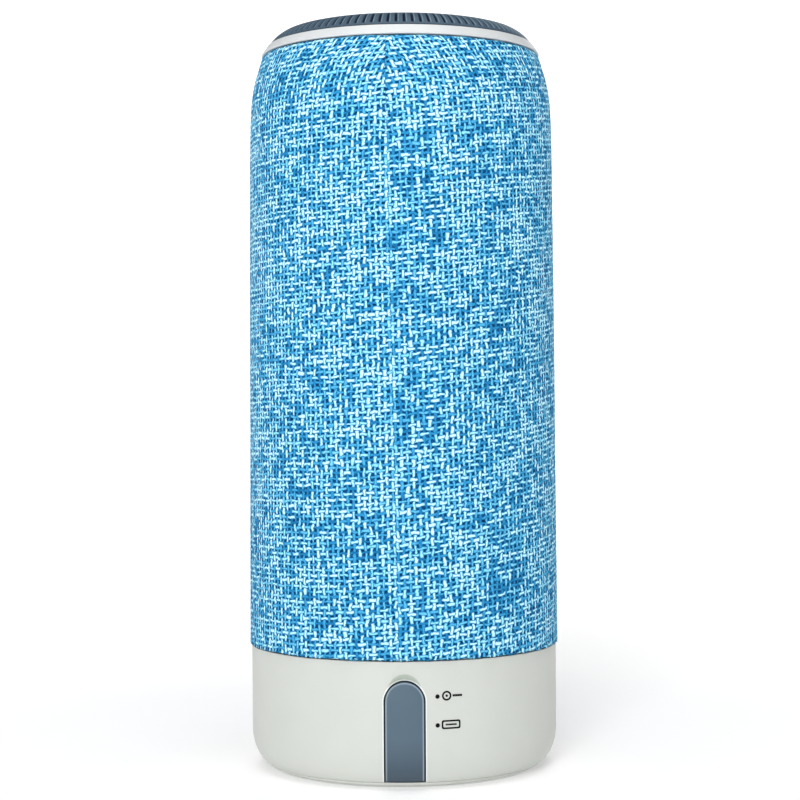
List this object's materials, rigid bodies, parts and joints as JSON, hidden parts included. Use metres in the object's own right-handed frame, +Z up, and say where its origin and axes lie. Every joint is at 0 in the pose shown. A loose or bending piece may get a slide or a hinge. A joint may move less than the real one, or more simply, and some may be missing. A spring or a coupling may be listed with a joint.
{
  "type": "portable bluetooth speaker",
  "caption": "Upright cylindrical wireless speaker: woven cloth sleeve, pale base with a rubber port flap, ribbed rotary volume ring and keys on top.",
  "frame": {"origin": "centre of the underside, on the plane of the rubber foot", "axes": "+Z up along the cylinder; the port flap faces -Y; +X is to the right of someone who looks at the port flap"},
  "size_m": [0.0768, 0.0768, 0.1824],
  "materials": {
    "pale_plastic": "satin moulded plastic, pale warm grey",
    "slate_plastic": "satin moulded plastic, slate blue",
    "slate_rubber": "soft-touch silicone, slate blue",
    "blue_weave": "azure melange woven cloth",
    "dark_plastic": "matte black plastic",
    "dark_rubber": "matte black rubber",
    "steel": "zinc-plated steel",
    "ferrite": "dark ferrite",
    "paper_cone": "dark pressed paper",
    "varnished_cloth": "varnished brown cloth",
    "copper": "enamelled copper wire",
    "board_green": "green solder mask",
    "chip_black": "black moulding compound",
    "cell_wrap": "shrink sleeve over a metal can",
    "lens": "milky translucent plastic",
    "cable_jacket": "dark cable jacket"
  },
  "bodies": {
    "housing": {"foot_ring": "dark_rubber", "base_plate": "pale_plastic", "base_shell": "pale_plastic", "base_screw_1": "steel", "base_screw_2": "steel", "base_screw_3": "steel", "base_screw_4": "steel", "io_board": "board_green", "aux_jack": "dark_plastic", "usb_shell": "steel", "usb_tongue": "dark_plastic", "battery_cradle": "dark_plastic", "battery_cell": "cell_wrap", "battery_connector": "lens", "main_board": "board_green", "bluetooth_module": "steel", "amplifier_chip": "chip_black", "power_inductor": "ferrite", "filter_capacitor": "cell_wrap", "chassis_screw_1": "steel", "chassis_screw_2": "steel", "chassis_screw_3": "steel", "acoustic_chamber": "dark_plastic", "radiator_frame": "steel", "radiator_surround": "dark_rubber", "driver_yoke": "steel", "driver_magnet": "ferrite", "driver_top_plate": "steel", "driver_basket": "steel", "spider": "varnished_cloth", "driver_surround": "dark_rubber", "driver_screw_1": "steel", "driver_screw_2": "steel", "driver_screw_3": "steel", "sound_diffuser": "dark_plastic", "grille_tube": "dark_plastic", "fabric_sleeve": "blue_weave", "top_chassis": "dark_plastic", "top_ring": "pale_plastic", "encoder_body": "chip_black", "key_board": "board_green", "switch_sheet": "lens", "control_plate": "slate_plastic", "status_light": "lens", "key_cable": "cable_jacket", "driver_lead": "cable_jacket"},
    "volume_knob": {"volume_ring": "slate_plastic", "volume_gear": "dark_plastic"},
    "encoder_shaft": {"encoder_pinion": "lens"},
    "flap": {"port_flap": "slate_rubber"},
    "play_key": {"play_button": "slate_rubber"},
    "next_key": {"next_button": "slate_rubber"},
    "mode_key": {"mode_button": "slate_rubber"},
    "previous_key": {"previous_button": "slate_rubber"},
    "power_key": {"power_button": "slate_rubber"},
    "cone_assembly": {"driver_cone": "paper_cone", "dust_cap": "paper_cone", "voice_coil": "copper"},
    "passive_radiator": {"radiator_piston": "dark_plastic", "radiator_weight": "steel"}
  },
  "joints": [
    {"name": "volume_turn", "type": "hinge", "parent": "housing", "child": "volume_knob", "pos_m": [0, 0, 0.1805], "axis": [0, 0, 1], "continuous": true},
    {"name": "encoder_turn", "type": "hinge", "parent": "housing", "child": "encoder_shaft", "pos_m": [0.01336, 0.01336, 0.1762], "axis": [0, 0, 1], "continuous": true},
    {"name": "flap_hinge", "type": "hinge", "parent": "housing", "child": "flap", "pos_m": [0, -0.0349, 0.0029], "axis": [1, 0, 0], "range_deg": [0, 80]},
    {"name": "play_press", "type": "slide", "parent": "housing", "child": "play_key", "axis": [0, 0, -1], "range_m": [0, 0.0005], "stiffness_N_per_m": 300},
    {"name": "next_press", "type": "slide", "parent": "housing", "child": "next_key", "axis": [0, 0, -1], "range_m": [0, 0.0005], "stiffness_N_per_m": 300},
    {"name": "mode_press", "type": "slide", "parent": "housing", "child": "mode_key", "axis": [0, 0, -1], "range_m": [0, 0.0005], "stiffness_N_per_m": 300},
    {"name": "previous_press", "type": "slide", "parent": "housing", "child": "previous_key", "axis": [0, 0, -1], "range_m": [0, 0.0005], "stiffness_N_per_m": 300},
    {"name": "power_press", "type": "slide", "parent": "housing", "child": "power_key", "axis": [0, 0, -1], "range_m": [0, 0.0005], "stiffness_N_per_m": 300},
    {"name": "cone_move", "type": "slide", "parent": "housing", "child": "cone_assembly", "axis": [0, 0, 1], "range_m": [-0.0015, 0.0015], "stiffness_N_per_m": 1000, "deforming": ["driver_surround", "spider"]},
    {"name": "radiator_move", "type": "slide", "parent": "housing", "child": "passive_radiator", "axis": [0, 0, 1], "range_m": [-0.0025, 0.0025], "stiffness_N_per_m": 600, "deforming": ["radiator_surround"]}
  ],
  "couplings": [
    {"joint": "encoder_turn", "follows": "volume_turn", "ratio": 4}
  ]
}
